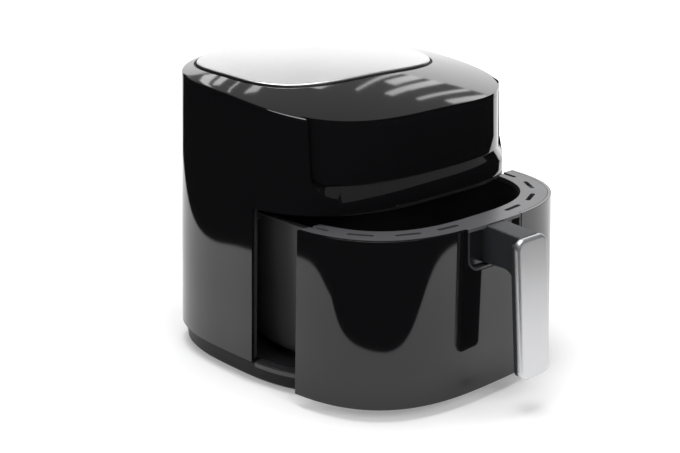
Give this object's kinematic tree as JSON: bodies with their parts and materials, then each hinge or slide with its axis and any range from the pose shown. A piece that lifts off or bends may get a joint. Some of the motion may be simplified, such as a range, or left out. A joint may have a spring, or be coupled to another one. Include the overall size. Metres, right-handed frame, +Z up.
{
  "type": "air fryer",
  "caption": "Drum-shaped air fryer with a pull-out basket drawer, upright front handle, recessed control panel and a satin disc let into the sloping lid.",
  "frame": {"origin": "on the table under the middle of the whole object, with the drawer at its rest position", "axes": "+Z up, -Y towards the handle and control panel, +X to the right seen from behind the handle"},
  "size_m": [0.3, 0.3924, 0.2862],
  "materials": {
    "gloss_black": "high gloss moulded ABS",
    "lens_black": "clear-coated acrylic lens, piano gloss",
    "satin_silver": "satin, fine grained",
    "black_ring": "gloss",
    "base_black": "fine moulded texture",
    "inner_black": "heat-resistant PBT, satin",
    "rim_grey": "satin moulded plastic",
    "neck_grey": "satin metallic paint",
    "grip_silver": "satin, fine grained",
    "nonstick": "dark non-stick coating on steel",
    "zinc_steel": "zinc-plated sheet steel",
    "heater_steel": "heat-darkened stainless tube",
    "bright_steel": "bright wire and screws",
    "ceramic": "unglazed white",
    "mineral_wool": "pressed mineral fibre",
    "lamination": "stacked steel laminations",
    "copper_coil": "enamelled copper winding",
    "bronze": "sintered bronze",
    "board_green": "epoxy circuit board",
    "part_black": "moulded component bodies",
    "fan_plastic": "glass-filled nylon",
    "fan_aluminium": "pressed sheet",
    "rubber": "dull",
    "silicone_red": "silicone",
    "plunger": "acetal",
    "display": "dark filter face"
  },
  "bodies": {
    "housing": {"side_shell": "gloss_black", "front_cover": "gloss_black", "top_cover": "gloss_black", "top_disc": "satin_silver", "disc_ring": "black_ring", "control_lens": "lens_black", "display_module": "display", "touch_board": "board_green", "base_pan": "base_black", "bay_floor": "inner_black", "feet": "rubber", "base_screws": "zinc_steel", "bay_liner": "inner_black", "slide_rails": "inner_black", "chamber_ceiling": "zinc_steel", "heater_dome": "zinc_steel", "heat_blanket": "mineral_wool", "heating_element": "heater_steel", "element_bushings": "ceramic", "element_guard": "bright_steel", "temperature_probe": "bright_steel", "thermal_fuse": "bronze", "motor_bracket": "zinc_steel", "lower_bridge": "zinc_steel", "upper_bridge": "zinc_steel", "motor_bearings": "bronze", "stator_core": "lamination", "motor_coil": "copper_coil", "motor_screws": "bright_steel", "power_board": "board_green", "board_parts": "part_black", "rear_vent": "base_black", "cord_gland": "rubber", "switch_body": "part_black", "switch_spring": "bright_steel"},
    "drawer": {"basket": "nonstick", "drawer_front": "gloss_black", "rim_frame": "rim_grey", "handle_seat": "gloss_black", "handle_neck": "neck_grey", "handle_core": "inner_black", "handle_grip": "grip_silver", "handle_plate": "zinc_steel", "handle_screws": "zinc_steel", "switch_tab": "inner_black"},
    "tray": {"crisper_tray": "nonstick", "tray_bumpers": "silicone_red"},
    "rotor": {"motor_shaft": "bright_steel", "rotor_core": "lamination", "hot_fan": "fan_aluminium", "fan_nut": "bronze", "cooling_fan": "fan_plastic"},
    "plunger": {"switch_plunger": "plunger"}
  },
  "joints": [
    {"name": "drawer_slide", "type": "slide", "parent": "housing", "child": "drawer", "axis": [0, -1, 0], "range_m": [-0.06, 0.19]},
    {"name": "tray_lift", "type": "slide", "parent": "drawer", "child": "tray", "axis": [0, 0, 1], "range_m": [0, 0.1]},
    {"name": "fan_spin", "type": "hinge", "parent": "housing", "child": "rotor", "pos_m": [0, 0.05422, 0.2265], "axis": [0, 0, 1], "continuous": true},
    {"name": "switch_press", "type": "slide", "parent": "housing", "child": "plunger", "axis": [0, 0, 1], "range_m": [0, 0.002], "stiffness_N_per_m": 300, "springref_m": -0.003, "deforming": ["switch_spring"]}
  ]
}
